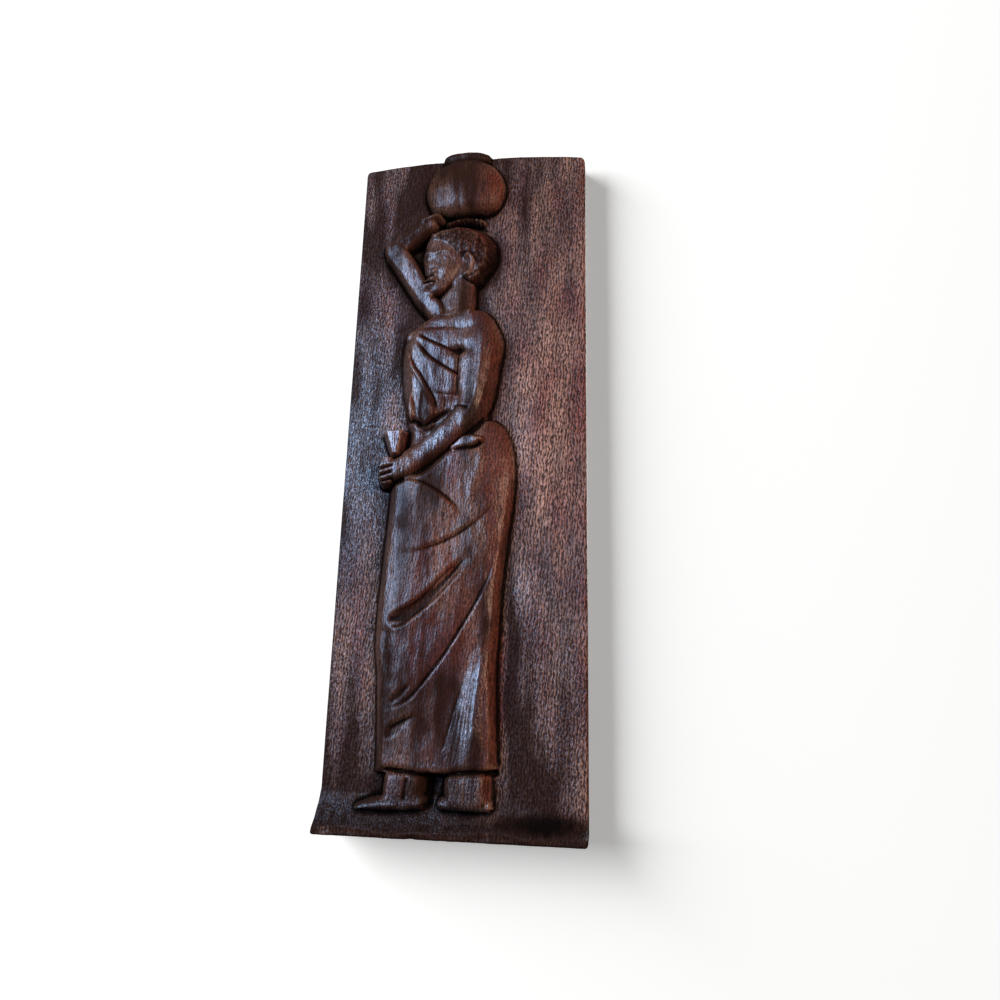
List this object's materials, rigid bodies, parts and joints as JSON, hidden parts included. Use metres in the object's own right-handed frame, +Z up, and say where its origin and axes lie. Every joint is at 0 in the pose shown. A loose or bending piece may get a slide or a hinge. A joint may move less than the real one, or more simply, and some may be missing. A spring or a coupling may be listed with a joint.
{
  "type": "carved wall panel",
  "caption": "Tall carved wooden wall panel: a standing woman in low relief steadies a pot on her head, on a projecting ground ledge; flat back hangs on a wall.",
  "frame": {"origin": "middle of the flat back face, where the panel meets the wall", "axes": "+Z up along the panel's height, +X to the viewer's right, +Y out of the back into the wall; the carving faces -Y"},
  "size_m": [0.1066, 0.0208, 0.3044],
  "materials": {
    "stained_wood": "dark stained and waxed hardwood, satin sheen, worn redder on the edges"
  },
  "bodies": {
    "root": {"carved_panel": "stained_wood"}
  },
  "joints": []
}
